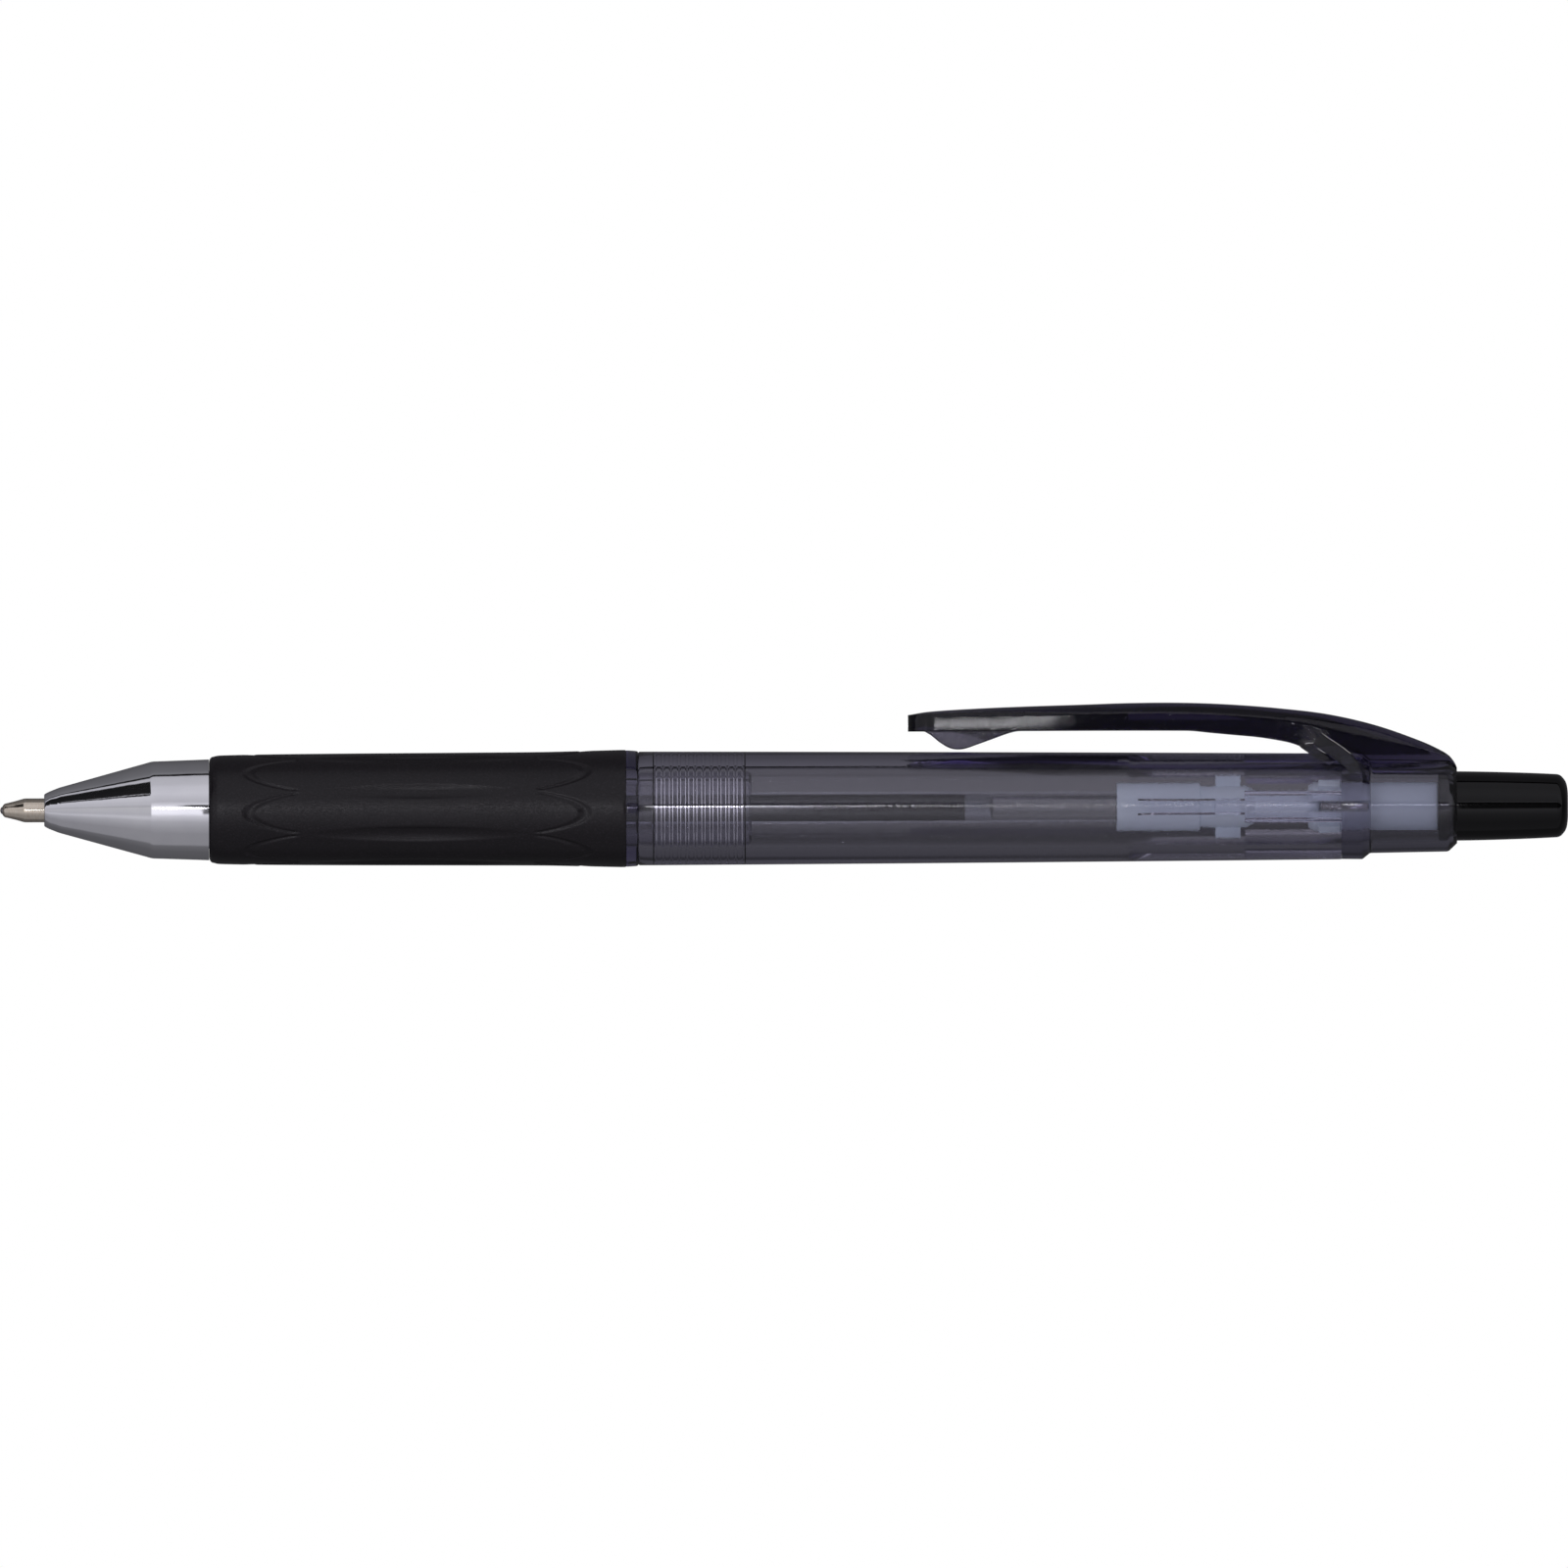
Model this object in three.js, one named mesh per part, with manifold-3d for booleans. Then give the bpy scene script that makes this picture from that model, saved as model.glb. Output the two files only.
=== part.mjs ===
// Retractable pen: a clear rear barrel and clip cap, a rubber grip, a metal nose, and the click
// mechanism inside. Millimetres. The pen lies along X with its point at -X and its button at +X;
// +Z is up, through the clip. Stations are measured from the tip of the ball and shifted at the end.
import * as THREE from 'three';
import Module from 'manifold-3d';
import { mergeVertices } from 'three/addons/utils/BufferGeometryUtils.js';

const wasm = await Module();
wasm.setup();

// overall
const LENGTH = 144;
const GRIP_R = 5.38; // largest radius, so also the height of the axis above the lowest point
const FINE = 64; // facets round a piece seen from outside
const COARSE = 32; // facets round a piece inside

// point and refill
const BALL_R = 0.4;
const CUP_R = 0.43;
const POINT_R = 1.1;
const POINT_END = 15.2;
const TANG_R = 0.9;
const HOLDER_START = 12;
const HOLDER_R = 1.5;
const FLANGE_START = 22.6;
const FLANGE_R = 2.0;
const HOLDER_END = 27;
const TUBE_START = 24.3;
const TUBE_END = 107.8;
const TUBE_R = 1.44;
const TUBE_BORE = 0.86;
const INK_END = 88.65;
const FOLLOWER_END = 91.2;

// return spring
const SPRING_START = 8.45;
const SPRING_END = 22.45;
const SPRING_R = 1.8;
const WIRE_R = 0.16;
const SPRING_TURNS = 10;

// nose cone
const MOUTH_START = 4.05;
const MOUTH_BORE = 1.24;
const SPRING_SEAT = 8.2;
const SPRING_BORE = 2.2;
const CONE_END = 13.6;
const NOSE_END = 19.1;

// front barrel and grip
const SPIGOT_START = 14.0;
const SPIGOT_R = 3.57;
const SLEEVE_R = 3.97;
const FRONT_BORE = 2.4;
const GRIP_START = 19.2;
const GRIP_END = 57.5;
const COLLAR_END = 58.55;
const TENON_END = 69;
const THREAD_PITCH = 1.48;
const FLUTES = 8;
const FLUTE_CENTRE = 38.0;
const FLUTE_HALF = 9.7;
const FLUTE_DEPTH = 0.19;
const FLUTE_CUTTER_R = 1.575;

// rear barrel and its ribbed guide
const REAR_START = 58.65;
const REAR_END = 123.2;
const REAR_R0 = 5.22;
const REAR_R1 = 4.86;
const REAR_BORE = 3.73;
const GUIDE_START = 103.6;
const GUIDE_R = 3.5;
const RAIL_START = 104.2;
const RAIL_R = 2.92;
const RAIL_WIDTH = 20; // degrees
const STOP_START = 114.5;
const STOP_R = 2.38;
const STOP_OFFSET = 15; // degrees to either side of a rail
const STOP_WIDTH = 11;
const SPIGOT2_END = 125.8;
const SPIGOT2_R = 3.55;

// clip cap
const CAP_START = 123.25;
const CAP_END = 133.8;
const CAP_SOCKET = 3.6;
const CAP_BORE = 3.25;

// rotor, thrust tube and button
const ROTOR_START = 102.6;
const ROTOR_R = 2.2;
const HUB_START = 110.1;
const HUB_R = 1.88;
const VANE_START = 111.6;
const VANE_END = 114.3;
const VANE_R = 2.86;
const VANE_WIDTH = 16; // degrees
const STEM_R = 1.44;
const STEM_END = 121;
const CROWN_START = 120.1;
const CROWN_DEPTH = 5.1;
const CROWN_BORE = 1.94;
const CROWN_R = 2.29;
const CROWN_GAP = 24; // degrees
const KEY_R = 2.84;
const THRUST_R = 2.2;
const THRUST_BORE = 1.6;
const THRUST_SHOULDER = 132;
const THRUST_END = 137;
const BUTTON_R = 3.1;

// ---- helpers -------------------------------------------------------------------------------

const toSolid = (geometry) => {
  geometry.deleteAttribute('normal');
  geometry.deleteAttribute('uv');
  const merged = mergeVertices(geometry, 1e-3);
  return new wasm.Manifold(new wasm.Mesh({
    numProp: 3,
    vertProperties: new Float32Array(merged.attributes.position.array),
    triVerts: new Uint32Array(merged.index.array),
  }));
};

// a solid of revolution about X from [x, radius] points: out along the outside, back along the bore
const turn = (points, facets) => {
  const profile = points.map(([x, r]) => new THREE.Vector2(r, x));
  if (points[0][1] > 0) profile.push(profile[0].clone());
  return toSolid(new THREE.LatheGeometry(profile, facets).rotateZ(-Math.PI / 2));
};

// a ring sector of the given width in degrees, centred on an angle counted from +Y towards +Z
const sector = (x0, x1, r0, r1, angle, width) => {
  const shape = new THREE.Shape();
  const steps = Math.max(2, Math.round(width / 8));
  const at = (r, i) => {
    const a = THREE.MathUtils.degToRad(angle - width / 2 + (width * i) / steps);
    return [r * Math.cos(a), r * Math.sin(a)];
  };
  shape.moveTo(...at(r1, 0));
  for (let i = 1; i <= steps; i++) shape.lineTo(...at(r1, i));
  for (let i = steps; i >= 0; i--) shape.lineTo(...at(r0, i));
  const geometry = new THREE.ExtrudeGeometry(shape, { depth: x1 - x0, bevelEnabled: false, steps: 1 });
  const turnToX = new THREE.Matrix4().makeBasis(
    new THREE.Vector3(0, 1, 0), new THREE.Vector3(0, 0, 1), new THREE.Vector3(1, 0, 0));
  return toSolid(geometry.applyMatrix4(turnToX).translate(x0, 0, 0));
};

const around = (count, phase, make) =>
  Array.from({ length: count }, (_, i) => make(phase + (360 / count) * i));

const join = (body, pieces) => pieces.reduce((sum, piece) => sum.add(piece), body);
const cut = (body, pieces) => pieces.reduce((rest, piece) => rest.subtract(piece), body);

// a closed skin through rings of equal point count, each ring running counterclockwise seen from +X
const loft = (rings) => {
  const count = rings[0].length;
  const position = [];
  const index = [];
  const centre = (ring) => ring.reduce((c, p) => c.map((v, k) => v + p[k] / count), [0, 0, 0]);
  rings.forEach((ring) => ring.forEach((p) => position.push(...p)));
  for (let i = 0; i + 1 < rings.length; i++) {
    for (let j = 0; j < count; j++) {
      const a = i * count + j;
      const b = i * count + ((j + 1) % count);
      index.push(a, b, a + count, b, b + count, a + count);
    }
  }
  const first = rings.length * count;
  position.push(...centre(rings[0]), ...centre(rings[rings.length - 1]));
  for (let j = 0; j < count; j++) {
    index.push(first, (j + 1) % count, j);
    const row = (rings.length - 1) * count;
    index.push(first + 1, row + j, row + ((j + 1) % count));
  }
  const geometry = new THREE.BufferGeometry();
  geometry.setAttribute('position', new THREE.Float32BufferAttribute(position, 3));
  geometry.setIndex(index);
  return toSolid(geometry);
};

const pen = new THREE.Group();
const addPiece = (name, solid, color, extra = {}) => {
  const mesh = solid.getMesh();
  const geometry = new THREE.BufferGeometry();
  geometry.setAttribute('position', new THREE.Float32BufferAttribute(mesh.vertProperties, 3));
  geometry.setIndex(Array.from(mesh.triVerts));
  geometry.translate(-LENGTH / 2, 0, GRIP_R);
  geometry.computeVertexNormals();
  const material = new THREE.MeshStandardMaterial({ color, roughness: 0.4, ...extra });
  const piece = new THREE.Mesh(geometry, material);
  piece.name = name;
  pen.add(piece);
};

// ---- the point, refill and spring ------------------------------------------------------------

const ballPoint = () => {
  const arc = Array.from({ length: 13 }, (_, i) => {
    const a = (Math.PI * i) / 12;
    return [BALL_R - BALL_R * Math.cos(a), i === 0 || i === 12 ? 0 : BALL_R * Math.sin(a)];
  });
  return turn(arc, 24);
};

const tipSocket = () => {
  const cup = [140, 115, 90, 65].map((deg) => {
    const a = THREE.MathUtils.degToRad(deg);
    return [BALL_R - CUP_R * Math.cos(a), CUP_R * Math.sin(a)];
  });
  const channel = CUP_R * Math.sin(THREE.MathUtils.degToRad(140));
  return turn([
    [0.27, 0.45], [0.32, 0.56], [0.9, 0.72], [1.44, 0.86], [1.98, 1.02], [2.25, POINT_R],
    [HOLDER_START - 0.05, POINT_R], [HOLDER_START - 0.05, TANG_R], [POINT_END, TANG_R],
    [POINT_END, channel], ...cup, [0.27, 0.41],
  ], COARSE);
};

const tipHolder = () => turn([
  [HOLDER_START, HOLDER_R - 0.15], [HOLDER_START + 0.15, HOLDER_R], [FLANGE_START, HOLDER_R],
  [FLANGE_START, FLANGE_R], [TUBE_START - 0.05, FLANGE_R], [TUBE_START - 0.05, TUBE_BORE - 0.02],
  [HOLDER_END, TUBE_BORE - 0.02], [HOLDER_END, 0.5], [POINT_END + 0.2, 0.5],
  [POINT_END + 0.2, TANG_R + 0.03], [HOLDER_START, TANG_R + 0.03],
], COARSE);

const refillTube = () => turn([
  [TUBE_START, TUBE_R], [TUBE_END, TUBE_R], [TUBE_END, TUBE_BORE], [TUBE_START, TUBE_BORE],
], COARSE);

const column = (x0, x1) => {
  const r = TUBE_BORE - 0.02;
  return turn([[x0, 0], [x0, r], [x1, r], [x1, 0]], COARSE);
};

class Coil extends THREE.Curve {
  getPoint(t) {
    const turns = SPRING_TURNS * t;
    const dead = 1.1;
    const closed = 2 * WIRE_R + 0.06;
    const live = SPRING_TURNS - 2 * dead;
    const span = SPRING_END - SPRING_START - 2 * WIRE_R;
    const pitch = (span - 2 * dead * closed) / live;
    const x = closed * Math.min(turns, dead)
      + pitch * THREE.MathUtils.clamp(turns - dead, 0, live)
      + closed * Math.max(turns - dead - live, 0);
    const a = 2 * Math.PI * turns;
    return new THREE.Vector3(
      SPRING_START + WIRE_R + x, SPRING_R * Math.sin(a), SPRING_R * Math.cos(a));
  }
}

const returnSpring = () => {
  const wire = new THREE.Shape();
  for (let i = 0; i < 6; i++) {
    const a = (Math.PI * i) / 3;
    const p = [WIRE_R * Math.cos(a), WIRE_R * Math.sin(a)];
    if (i) wire.lineTo(...p);
    else wire.moveTo(...p);
  }
  return toSolid(new THREE.ExtrudeGeometry(wire, {
    steps: SPRING_TURNS * 14, extrudePath: new Coil(), bevelEnabled: false,
  }));
};

// ---- front section ---------------------------------------------------------------------------

const noseCone = () => turn([
  [MOUTH_START, 1.33], [MOUTH_START + 0.12, 1.48], [4.45, 1.68], [5.4, 2.07], [CONE_END, 4.33],
  [CONE_END + 0.25, 4.44], [NOSE_END, 4.62], [NOSE_END, SPIGOT_R + 0.03],
  [SPIGOT_START - 0.1, SPIGOT_R + 0.03], [SPIGOT_START - 0.1, SPRING_BORE],
  [SPRING_SEAT, SPRING_BORE], [SPRING_SEAT, MOUTH_BORE], [MOUTH_START, MOUTH_BORE],
], FINE);

const frontBarrel = () => {
  const points = [
    [SPIGOT_START, SPIGOT_R], [GRIP_START + 0.05, SPIGOT_R], [GRIP_START + 0.05, SLEEVE_R],
    [GRIP_END + 0.03, SLEEVE_R], [GRIP_END + 0.03, 5.36], [58.2, 5.34], [COLLAR_END, 5.18],
    [COLLAR_END, 3.35],
  ];
  for (let i = 0; i < 6; i++) {
    const x = 59.9 + THREAD_PITCH * i;
    points.push([x, 3.35], [x + 0.35, 3.63], [x + 0.6, 3.63], [x + 0.95, 3.35]);
  }
  points.push([TENON_END, 3.35], [TENON_END, FRONT_BORE], [SPIGOT_START, FRONT_BORE]);
  return turn(points, FINE);
};

const rubberGrip = () => {
  const body = turn([
    [GRIP_START, 4.45], [GRIP_START + 0.15, 4.75], [GRIP_START + 0.6, 4.94], [21, 5.0], [27, 5.1],
    [43, 5.18], [50, 5.22], [54, 5.31], [56.9, GRIP_R], [GRIP_END - 0.1, GRIP_R],
    [GRIP_END, GRIP_R - 0.1], [GRIP_END, SLEEVE_R + 0.03], [GRIP_START, SLEEVE_R + 0.03],
  ], FINE);
  const surface = 5.155;
  const offset = surface + FLUTE_CUTTER_R - FLUTE_DEPTH;
  const profile = Array.from({ length: 11 }, (_, i) => {
    const t = -1.1 + 0.22 * i;
    return [FLUTE_CENTRE + FLUTE_HALF * t, FLUTE_CUTTER_R - FLUTE_DEPTH * t * t];
  });
  const ends = [[profile[0][0], 0], ...profile, [profile[10][0], 0]];
  return cut(body, around(FLUTES, 22.5 - 3.8, (deg) => turn(ends, 24)
    .translate([0, 0, offset]).rotate([deg, 0, 0])));
};

// ---- rear section ----------------------------------------------------------------------------

const rearBarrel = () => {
  const shell = turn([
    [REAR_START, REAR_R0 - 0.08], [REAR_START + 0.1, REAR_R0], [REAR_END, REAR_R1],
    [REAR_END, SPIGOT2_R], [SPIGOT2_END, SPIGOT2_R], [SPIGOT2_END, STOP_R], [REAR_END, STOP_R],
    [REAR_END, GUIDE_R], [GUIDE_START + 0.4, GUIDE_R], [GUIDE_START, REAR_BORE],
    [REAR_START, REAR_BORE],
  ], FINE);
  const ramp = turn([[RAIL_START - 2, 0], [RAIL_START - 2, 4.8], [106, RAIL_R], [106, 0]], FINE);
  const rails = around(4, 0, (deg) => cut(
    sector(RAIL_START, REAR_END + 0.3, RAIL_R, GUIDE_R + 0.04, deg, RAIL_WIDTH), [ramp]));
  const stops = [-STOP_OFFSET, STOP_OFFSET].flatMap((side) => around(4, side, (deg) =>
    sector(STOP_START, REAR_END + 0.3, STOP_R, GUIDE_R + 0.04, deg, STOP_WIDTH)));
  return join(shell, [...rails, ...stops]);
};

// stations along the clip: x, height of the crown, height of the underside, half width, crown rise
const CLIP = [
  [83.4, 8.15, 7.35, 0.75, 0.05],
  [83.7, 8.52, 7.0, 1.15, 0.1],
  [84.5, 8.74, 6.97, 1.65, 0.13],
  [86, 8.9, 6.97, 1.95, 0.18],
  [90, 9.1, 6.97, 2.1, 0.3],
  [97, 9.33, 6.97, 2.15, 0.55],
  [104, 9.57, 6.97, 2.2, 0.72],
  [109, 9.55, 6.96, 2.25, 0.75],
  [113.4, 9.36, 6.6, 2.35, 0.85],
  [117.7, 9.0, 6.03, 2.6, 0.95],
  [120, 8.7, 5.25, 3.0, 1.1],
  [121.6, 8.5, 4.2, 3.3, 1.3],
  [123.6, 8.15, 3.3, 3.4, 1.7],
  [126.4, 7.43, 3.3, 2.9, 1.9],
  [129.5, 6.35, 3.3, 2.1, 1.5],
  [132, 5.25, 3.3, 1.4, 0.8],
  [133.1, 4.6, 3.3, 0.9, 0.4],
];

// the pad that grips a pocket: x, half width, how far below the clip's underside it reaches
const PAD = [
  [85.1, 0.5, 0.05], [85.6, 1.0, 0.6], [86.5, 1.25, 1.3], [88, 1.35, 1.57],
  [89.6, 1.25, 1.25], [91.4, 0.95, 0.6], [93.2, 0.5, 0.05],
];

const clipCap = () => {
  const cap = turn([
    [CAP_START, REAR_R1], [125.1, 4.84], [125.8, 4.3], [133, 4.18], [CAP_END, 3.36],
    [CAP_END, 3.3], [CAP_END - 0.9, 3.3], [CAP_END - 0.9, 3.3], [CAP_START, 3.3],
  ], FINE);
  const arm = loft(CLIP.map(([x, top, bottom, half, rise]) => {
    const ring = [[x, half - 0.25, bottom], [x, half, bottom + 0.25], [x, half, top - rise - 0.15]];
    for (let i = 1; i <= 7; i++) {
      const y = half * (1 - i / 4);
      ring.push([x, y * 0.96, top - rise * (y / half) ** 2]);
    }
    ring.push([x, -half, top - rise - 0.15], [x, -half, bottom + 0.25], [x, 0.25 - half, bottom]);
    return ring;
  }));
  const pad = loft(PAD.map(([x, half, drop]) => {
    const ring = [[x, half, 7.4]];
    for (let i = 0; i <= 6; i++) {
      const a = (Math.PI * i) / 6;
      ring.unshift([x, half * Math.cos(a), 6.97 - drop * Math.sin(a)]);
    }
    ring.unshift([x, -half, 7.4]);
    return ring;
  }));
  const bore = turn([
    [CAP_START - 4, 0], [CAP_START - 4, CAP_SOCKET], [126, CAP_SOCKET], [126, CAP_BORE],
    [CAP_END + 1, CAP_BORE], [CAP_END + 1, 0],
  ], FINE);
  const barrelRoom = turn([
    [100, 0], [100, 5.04], [CAP_START, REAR_R1 + 0.05], [CAP_START, 0],
  ], FINE);
  return cut(cap.add(arm).add(pad), [barrelRoom, bore]);
};

// ---- click mechanism -------------------------------------------------------------------------

const rotorCam = () => {
  const body = turn([
    [ROTOR_START, ROTOR_R], [HUB_START, ROTOR_R], [HUB_START, HUB_R], [114.6, HUB_R],
    [115.2, STEM_R], [STEM_END - 0.3, STEM_R], [STEM_END, STEM_R - 0.3], [STEM_END, 0],
    [TUBE_END + 0.2, 0], [TUBE_END + 0.2, TUBE_R + 0.03], [ROTOR_START, TUBE_R + 0.03],
  ], COARSE);
  const vanes = around(4, 0, (deg) =>
    sector(VANE_START, VANE_END, HUB_R - 0.3, VANE_R, deg, VANE_WIDTH));
  return join(body, vanes);
};

const thrustTube = () => {
  const body = turn([
    [CROWN_START, CROWN_BORE + 0.06], [CROWN_START + 0.5, CROWN_R], [123, CROWN_R],
    [123.3, THRUST_R], [THRUST_SHOULDER, THRUST_R], [THRUST_SHOULDER, 2], [THRUST_END, 2],
    [THRUST_END, 0], [133, 0], [133, THRUST_BORE], [CROWN_START + CROWN_DEPTH, THRUST_BORE],
    [CROWN_START + CROWN_DEPTH, CROWN_BORE], [CROWN_START, CROWN_BORE],
  ], COARSE);
  const gaps = around(4, 0, (deg) => sector(
    CROWN_START - 1, CROWN_START + CROWN_DEPTH - 0.1, CROWN_BORE - 0.2, CROWN_R + 0.5, deg, CROWN_GAP));
  const keys = around(4, 45, (deg) => sector(121, 123.1, THRUST_R - 0.1, KEY_R, deg, VANE_WIDTH));
  return join(cut(body, gaps), keys);
};

const button = () => turn([
  [THRUST_SHOULDER + 0.03, BUTTON_R - 0.15], [THRUST_SHOULDER + 0.2, BUTTON_R], [136, 3.12],
  [140.4, 2.97], [143, 2.84], [143.45, 2.68], [143.75, 2.35], [143.92, 1.8], [LENGTH, 1.2],
  [LENGTH, 0], [THRUST_END + 0.1, 0], [THRUST_END + 0.1, 2.03], [THRUST_SHOULDER + 0.03, 2.03],
], FINE);

const clear = { transparent: true, opacity: 0.45 };
addPiece('writing_ball', ballPoint(), 0xb8b8bc, { metalness: 1, roughness: 0.2 });
addPiece('tip_socket', tipSocket(), 0xb49a68, { metalness: 1 });
addPiece('tip_holder', tipHolder(), 0xe8e8ec);
addPiece('refill_tube', refillTube(), 0xc8ccd8, clear);
addPiece('ink_column', column(HOLDER_END + 0.05, INK_END), 0x101018);
addPiece('ink_follower', column(INK_END + 0.02, FOLLOWER_END), 0x8090b0, clear);
addPiece('return_spring', returnSpring(), 0xa8a8ac, { metalness: 1 });
addPiece('nose_cone', noseCone(), 0xd8d8dc, { metalness: 1, roughness: 0.1 });
addPiece('front_barrel', frontBarrel(), 0x4a4852, clear);
addPiece('rubber_grip', rubberGrip(), 0x252529, { roughness: 0.85 });
addPiece('rear_barrel', rearBarrel(), 0x4b4852, clear);
addPiece('clip_cap', clipCap(), 0x3c3a46, clear);
addPiece('rotor_cam', rotorCam(), 0xe8eaf0);
addPiece('thrust_tube', thrustTube(), 0xe8eaf0);
addPiece('button', button(), 0x0f0f11, { roughness: 0.15 });

export default pen;
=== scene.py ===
"""Retractable pen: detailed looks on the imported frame. Sizes below are in millimetres from the tip
of the writing ball, with radii from the pen's axis; place() turns them into the frame's metres."""
import math

import bpy
import bmesh
import numpy as np
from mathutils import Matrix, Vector


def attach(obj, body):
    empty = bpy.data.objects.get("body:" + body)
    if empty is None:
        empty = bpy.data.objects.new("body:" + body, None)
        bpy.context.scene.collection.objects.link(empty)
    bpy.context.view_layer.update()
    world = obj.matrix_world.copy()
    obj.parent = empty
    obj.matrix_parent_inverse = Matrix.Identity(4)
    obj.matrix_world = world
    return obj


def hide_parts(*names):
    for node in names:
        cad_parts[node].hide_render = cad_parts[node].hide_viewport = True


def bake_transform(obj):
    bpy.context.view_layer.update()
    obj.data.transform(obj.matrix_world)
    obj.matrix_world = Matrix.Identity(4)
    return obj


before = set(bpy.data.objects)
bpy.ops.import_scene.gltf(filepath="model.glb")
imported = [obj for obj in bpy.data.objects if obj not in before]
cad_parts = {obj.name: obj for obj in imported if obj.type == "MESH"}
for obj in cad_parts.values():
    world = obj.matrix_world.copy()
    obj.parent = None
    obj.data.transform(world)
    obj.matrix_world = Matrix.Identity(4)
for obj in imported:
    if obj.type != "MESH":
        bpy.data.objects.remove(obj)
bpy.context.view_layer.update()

MM = 0.001
LENGTH = 144.0
AXIS_Z = 5.38
TAU = 2 * math.pi


def place(x, y, z):
    return ((x - LENGTH / 2) * MM, y * MM, (z + AXIS_Z) * MM)


def smooth(lo, hi, v):
    t = min(max((v - lo) / (hi - lo), 0.0), 1.0)
    return t * t * (3 - 2 * t)


def interp(table, x):
    """A smooth curve through (x, value) pairs, level beyond the ends."""
    xs = [p[0] for p in table]
    if x <= xs[0]:
        return table[0][1]
    if x >= xs[-1]:
        return table[-1][1]
    i = max(k for k in range(len(xs)) if xs[k] <= x)
    i = min(i, len(xs) - 2)
    x0, v0 = table[i]
    x1, v1 = table[i + 1]
    h = x1 - x0

    def slope(k):
        if k <= 0 or k >= len(table) - 1:
            a, b = (0, 1) if k <= 0 else (-2, -1)
            return (table[b][1] - table[a][1]) / (table[b][0] - table[a][0])
        return (table[k + 1][1] - table[k - 1][1]) / (table[k + 1][0] - table[k - 1][0])

    t = (x - x0) / h
    m0, m1 = slope(i) * h, slope(i + 1) * h
    return ((2 * t**3 - 3 * t**2 + 1) * v0 + (t**3 - 2 * t**2 + t) * m0
            + (-2 * t**3 + 3 * t**2) * v1 + (t**3 - t**2) * m1)


def rounded(corners, steps=5):
    """[(x, r, fillet)] to a polyline with each corner cut back by its fillet and rounded."""
    out = []
    n = len(corners)
    for i, (x, r, f) in enumerate(corners):
        if f <= 0 or i in (0, n - 1) and corners[0][1] == 0:
            out.append((x, r))
            continue
        p = Vector((x, r))
        a = Vector(corners[i - 1][:2]) - p
        b = Vector(corners[(i + 1) % n][:2]) - p
        fa, fb = min(f, a.length * 0.45), min(f, b.length * 0.45)
        start, end = p + a.normalized() * fa, p + b.normalized() * fb
        for k in range(steps + 1):
            t = k / steps
            q = start * (1 - t) ** 2 + p * 2 * t * (1 - t) + end * t**2
            out.append((q.x, q.y))
    return out


def mesh_object(name, verts, faces, sharp=32):
    mesh = bpy.data.meshes.new(name)
    mesh.from_pydata([place(*v) for v in verts], [], faces)
    bm = bmesh.new()
    bm.from_mesh(mesh)
    bmesh.ops.recalc_face_normals(bm, faces=bm.faces)
    bm.to_mesh(mesh)
    bm.free()
    finish_mesh(mesh, sharp)
    obj = bpy.data.objects.new(name, mesh)
    bpy.context.scene.collection.objects.link(obj)
    return obj


def finish_mesh(mesh, sharp=32):
    mesh.polygons.foreach_set("use_smooth", [True] * len(mesh.polygons))
    mesh.set_sharp_from_angle(angle=math.radians(sharp))
    mesh.update()


def turned(name, rings, count=128, closed=True, sharp=32):
    """A turned piece from rings of (x, r), r a number or a function of the angle. The angle runs from
    -Y, the side that faces the camera, towards +Z. Closed: the last ring joins the first."""
    verts, rows = [], []
    for x, r in rings:
        if not callable(r) and r == 0:
            rows.append([len(verts)])
            verts.append((x, 0, 0))
            continue
        row = []
        for j in range(count):
            a = TAU * j / count
            v = r(a) if callable(r) else r
            row.append(len(verts))
            verts.append((x, -v * math.cos(a), v * math.sin(a)))
        rows.append(row)
    faces = []
    pairs = list(zip(rows, rows[1:])) + ([(rows[-1], rows[0])] if closed else [])
    for a, b in pairs:
        if len(a) == 1 and len(b) == 1:
            continue
        for j in range(count):
            k = (j + 1) % count
            if len(a) == 1:
                faces.append((a[0], b[k], b[j]))
            elif len(b) == 1:
                faces.append((a[j], a[k], b[0]))
            else:
                faces.append((a[j], a[k], b[k], b[j]))
    return mesh_object(name, verts, faces, sharp)


def loft(name, rings):
    """A closed skin over rings of points, all with the same number of points, with flat ends."""
    count = len(rings[0])
    verts = [p for ring in rings for p in ring]
    faces = [tuple(range(count)), tuple(reversed(range(len(verts) - count, len(verts))))]
    for i in range(len(rings) - 1):
        for j in range(count):
            k = (j + 1) % count
            a, b = i * count, (i + 1) * count
            faces.append((a + j, b + j, b + k, a + k))
    return mesh_object(name, verts, faces)


def sector(name, x0, x1, r0, r1, centre, width):
    """A ring sector between two radii and two stations; centre and width in degrees from -Y."""
    steps = max(2, int(width // 3))
    rings = []
    for x in (x0, x1):
        ring = []
        for i in range(steps + 1):
            a = math.radians(centre - width / 2 + width * i / steps)
            ring.append((x, -r1 * math.cos(a), r1 * math.sin(a)))
        for i in range(steps, -1, -1):
            a = math.radians(centre - width / 2 + width * i / steps)
            ring.append((x, -r0 * math.cos(a), r0 * math.sin(a)))
        rings.append(ring)
    return loft(name, rings)


def combine(base, others, operation):
    """Join or cut base with each of the others, which are used up."""
    for other in others:
        mod = base.modifiers.new("bool", "BOOLEAN")
        mod.operation = operation
        mod.solver = "EXACT"
        mod.object = other
        bpy.context.view_layer.update()
        graph = bpy.context.evaluated_depsgraph_get()
        mesh = bpy.data.meshes.new_from_object(base.evaluated_get(graph))
        base.modifiers.clear()
        old = base.data
        base.data = mesh
        bpy.data.meshes.remove(old)
        bpy.data.objects.remove(other)
    finish_mesh(base.data)
    return base


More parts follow.
